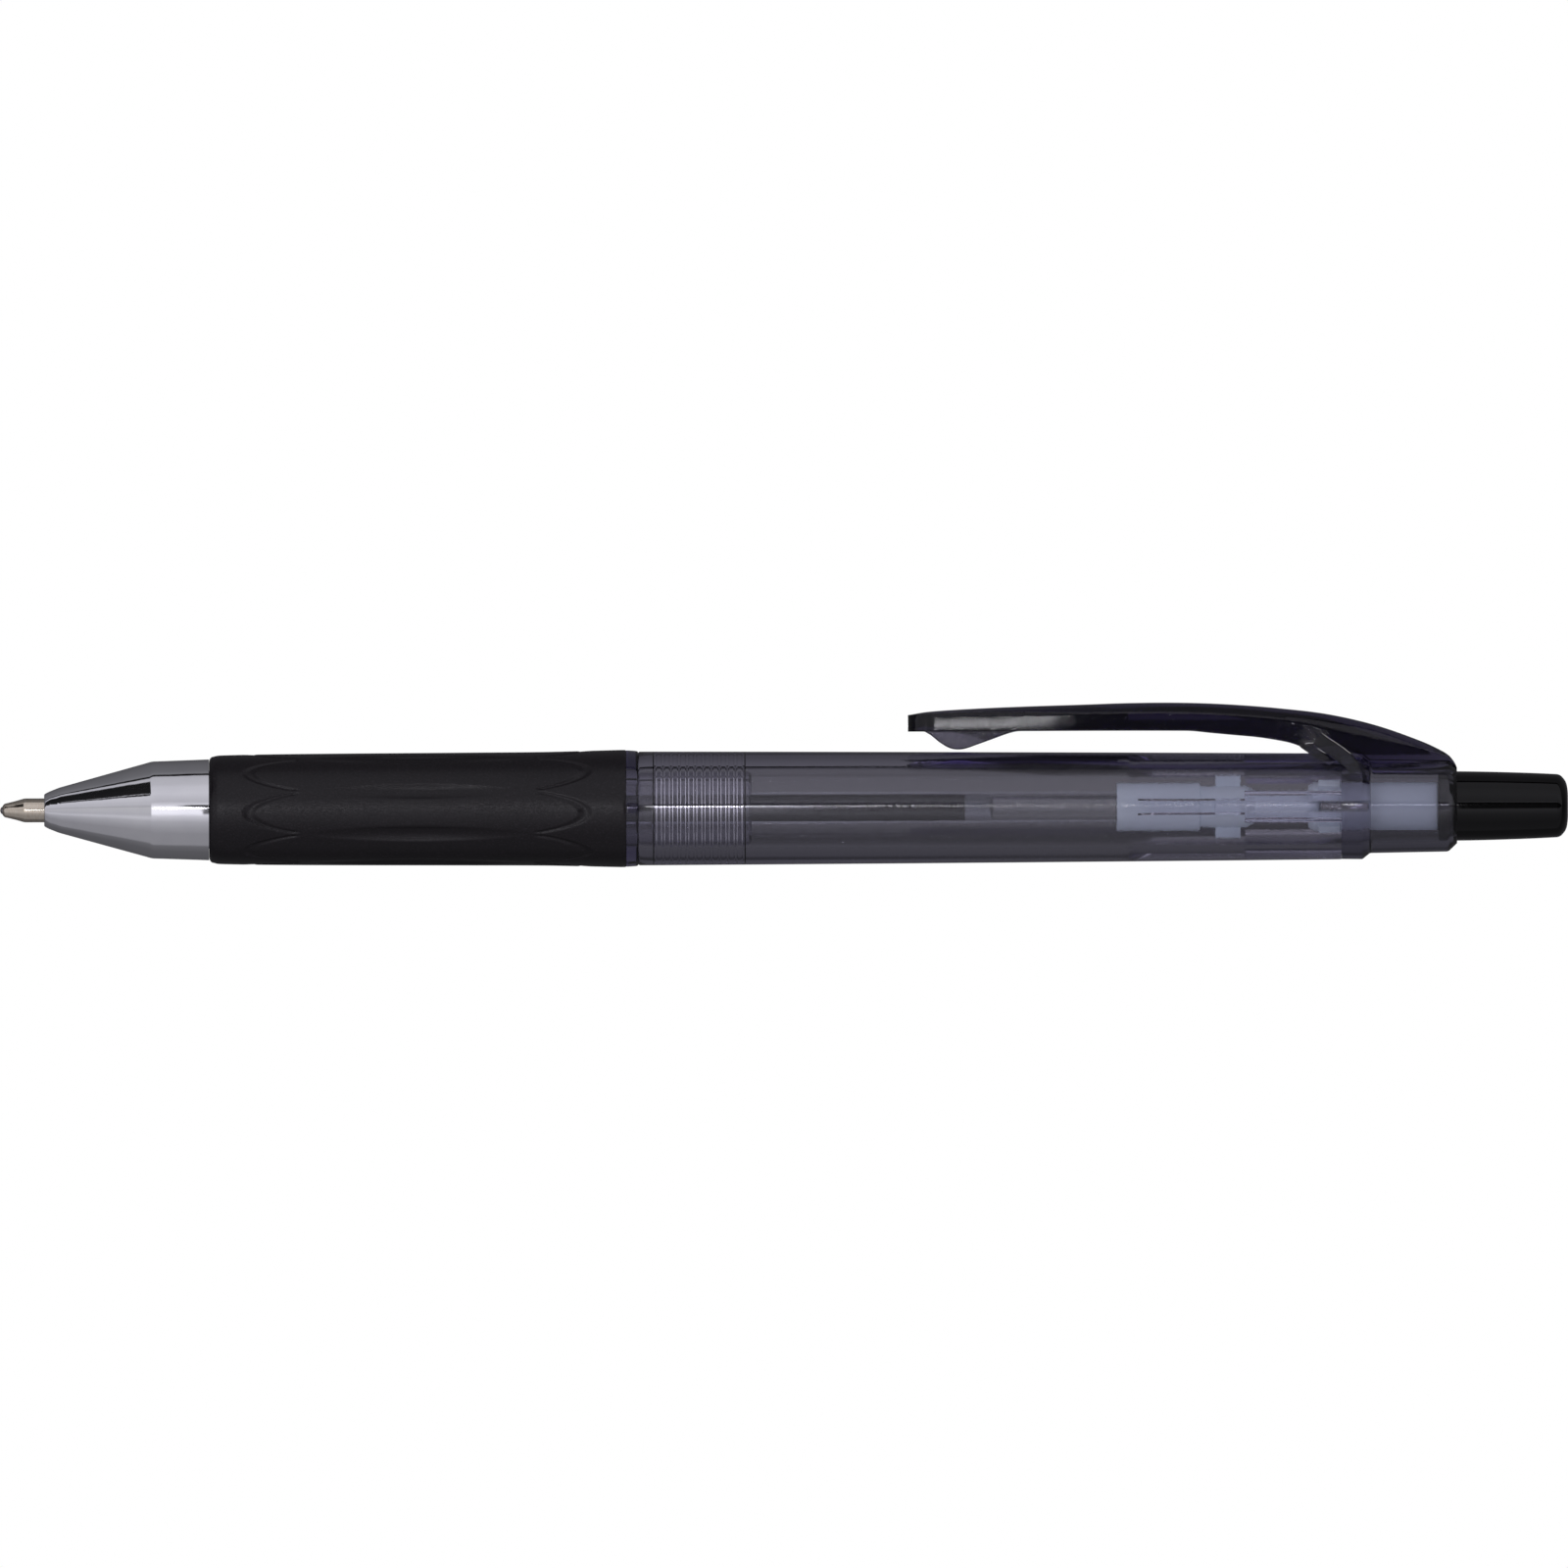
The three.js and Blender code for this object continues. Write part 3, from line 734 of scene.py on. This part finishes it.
def studio():
    """Round the pen, by the angle up from the camera's side: a bright front, a soft top and dim back."""
    world = bpy.data.worlds.new("studio")
    world.use_nodes = True
    bpy.context.scene.world = world
    tree = world.node_tree
    tree.nodes.clear()

    def node(kind, **settings):
        n = tree.nodes.new(kind)
        for key, value in settings.items():
            setattr(n, key, value)
        return n

    def calc(operation, a, b=0.0):
        n = node("ShaderNodeMath", operation=operation)
        for socket, value in zip(n.inputs, (a, b)):
            if isinstance(value, (int, float)):
                socket.default_value = value
            else:
                tree.links.new(value, socket)
        return n.outputs["Value"]

    def step(value, lo, hi):
        n = node("ShaderNodeMapRange", interpolation_type="SMOOTHSTEP")
        tree.links.new(value, n.inputs["Value"])
        n.inputs["From Min"].default_value, n.inputs["From Max"].default_value = lo, hi
        return n.outputs["Result"]

    def less(value, mask, share=1.0):
        """The value with a share of it taken away where the mask is 1."""
        return calc("MULTIPLY", value, calc("SUBTRACT", 1.0, calc("MULTIPLY", mask, share)))

    def window(value, opens, opened, closes, closed):
        return less(step(value, opens, opened), step(value, closes, closed))

    coord = node("ShaderNodeTexCoord")
    parts = node("ShaderNodeSeparateXYZ")
    tree.links.new(coord.outputs["Generated"], parts.inputs["Vector"])
    x, y, z = (parts.outputs[i] for i in range(3))
    elevation = calc("MULTIPLY", calc("ARCTAN2", z, calc("MULTIPLY", y, -1.0)), 180 / math.pi)
    path = node("ShaderNodeLightPath")
    through = path.outputs["Is Transmission Ray"]

    ramp = node("ShaderNodeValToRGB")
    levels = [(-180, 0.075), (-115, 0.10), (-95, 0.135), (-89, 0.24), (-58, 0.25), (-43, 0.31),
              (-29, 0.386), (-15, 0.60), (-8, 0.92), (6, 0.97), (12, 0.67), (19, 0.47), (26, 0.515),
              (40, 0.58), (55, 0.55), (63, 0.485), (80, 0.45), (86, 0.42), (87.5, 0.004), (92, 0.004),
              (94, 0.19), (101, 0.15), (110, 0.133), (130, 0.115), (160, 0.085), (180, 0.075)]
    elements = ramp.color_ramp.elements
    while len(elements) > 1:
        elements.remove(elements[-1])
    for i, (deg, level) in enumerate(levels):
        e = elements[0] if i == 0 else elements.new((deg + 180) / 360)
        e.position = (deg + 180) / 360
        e.color = (level * 0.985, level * 0.975, min(level * 1.06, 1), 1)
    tree.links.new(calc("DIVIDE", calc("ADD", elevation, 180.0), 360.0), ramp.inputs["Fac"])

    # the front: less bright away from square on, and it ends just to the right of square on
    side = step(calc("ABSOLUTE", x), 0.28, 0.45)
    right = step(x, 0.0105, 0.0125)
    dim = less(1.0, calc("MULTIPLY", side, window(elevation, -22.0, -8.0, 8.0, 20.0)), 0.52)
    dim = less(dim, calc("MULTIPLY", right, window(elevation, -14.0, -6.0, 6.0, 13.0)), 0.9)

    # a dark card high on the left with a ragged lower edge, for the streak along the nose
    noise = node("ShaderNodeTexNoise")
    noise.inputs["Scale"].default_value = 14.0
    noise.inputs["Detail"].default_value = 5.0
    tree.links.new(coord.outputs["Generated"], noise.inputs["Vector"])
    ripple = calc("MULTIPLY", calc("SUBTRACT", noise.outputs["Fac"], 0.5), 26.0)
    flag = less(step(calc("ADD", elevation, ripple), 38.0, 42.0), step(elevation, 76.0, 79.0))
    flag = calc("MULTIPLY", flag, step(calc("MULTIPLY", x, -1.0), 0.34, 0.42))
    dim = less(dim, flag, 0.98)

    # a thin bright lamp, with a dark line just above it
    strip = less(window(elevation, 2.4, 3.2, 4.6, 5.4), step(calc("ABSOLUTE", x), 0.2, 0.3))
    strip = less(strip, right)
    line = calc("MULTIPLY", window(elevation, 6.4, 7.2, 10.5, 12.5), step(x, -0.045, -0.02))
    dim = less(dim, line, 0.93)

    # seen through the plastic only: a dark edge behind, and a dimmer ground
    edge = window(elevation, 112.0, 114.0, 122.0, 124.0)
    dim = less(dim, calc("MULTIPLY", edge, through), 0.96)
    ground = window(elevation, -180.0, -171.0, -110.0, -90.0)
    ground = less(ground, step(elevation, -165.0, -148.0), 0.6)
    dim = less(dim, calc("MULTIPLY", ground, through), 0.7)

    # light that has bounced off a matt surface counts for more
    bounced = calc("MINIMUM", path.outputs["Diffuse Depth"], 1.0)
    dim = calc("MULTIPLY", dim, calc("ADD", 1.0, calc("MULTIPLY", bounced, 0.34)))

    lit = node("ShaderNodeBackground")
    tree.links.new(ramp.outputs["Color"], lit.inputs["Color"])
    tree.links.new(calc("ADD", dim, calc("MULTIPLY", strip, 9.0)), lit.inputs["Strength"])
    plain = node("ShaderNodeBackground")
    plain.inputs["Color"].default_value = (1, 1, 1, 1)
    mix = node("ShaderNodeMixShader")
    out = node("ShaderNodeOutputWorld")
    tree.links.new(path.outputs["Is Camera Ray"], mix.inputs["Fac"])
    tree.links.new(lit.outputs["Background"], mix.inputs[1])
    tree.links.new(plain.outputs["Background"], mix.inputs[2])
    tree.links.new(mix.outputs["Shader"], out.inputs["Surface"])


def backdrop(name, verts, material):
    """A flat stage piece, which isn't part of the pen. Reflections and bounced light miss it."""
    mesh = bpy.data.meshes.new(name)
    mesh.from_pydata(verts, [], [tuple(range(len(verts)))])
    mesh.materials.append(material)
    obj = bpy.data.objects.new(name, mesh)
    bpy.context.scene.collection.objects.link(obj)
    obj.visible_diffuse = obj.visible_glossy = False
    return obj


FLOOR_HALF = 6.0  # metres
SHADE_Y = 5.5
SHADE = [(83.0, 8.2), (96.0, 4.72), (134.0, 4.72), (134.0, 8.0), (103.5, 8.0), (103.5, 9.6), (84.0, 9.6)]


def floor():
    m = Nodes("pale_floor").set(color=(0.92, 0.92, 0.93, 1), roughness=0.9, specular=0.0)
    m.bsdf.inputs["Emission Color"].default_value = (1, 1, 1, 1)
    m.bsdf.inputs["Emission Strength"].default_value = 0.62
    h = FLOOR_HALF
    obj = backdrop("floor", [(-h, -h, 0), (h, -h, 0), (h, h, 0), (-h, h, 0)], m.mat)
    obj.visible_transmission = False


def shade():
    """A dark card behind the clip, seen only through plastic: the clip's own shade on what is behind."""
    m = Nodes("shade").set(color=(0.02, 0.019, 0.024, 1), roughness=1.0, specular=0.0)
    obj = backdrop("shade", [place(x, SHADE_Y, z) for x, z in SHADE], m.mat)
    obj.visible_camera = obj.visible_shadow = False


studio()
floor()
shade()

CAMERA_BACK, CAMERA_RISE, CAMERA_ROLL = 0.4, 2.21, 0.178  # metres, millimetres over the axis, degrees

camera = bpy.data.objects.new("camera", bpy.data.cameras.new("camera"))
camera.data.type = "ORTHO"
camera.data.ortho_scale = LENGTH * MM
camera.data.clip_start, camera.data.clip_end = 0.01, 20
camera.location = (0, -CAMERA_BACK, (AXIS_Z + CAMERA_RISE) * MM)
camera.rotation_euler = (math.pi / 2, math.radians(CAMERA_ROLL), 0)
bpy.context.scene.collection.objects.link(camera)
bpy.context.scene.camera = camera
bpy.context.scene.view_settings.view_transform = "Standard"
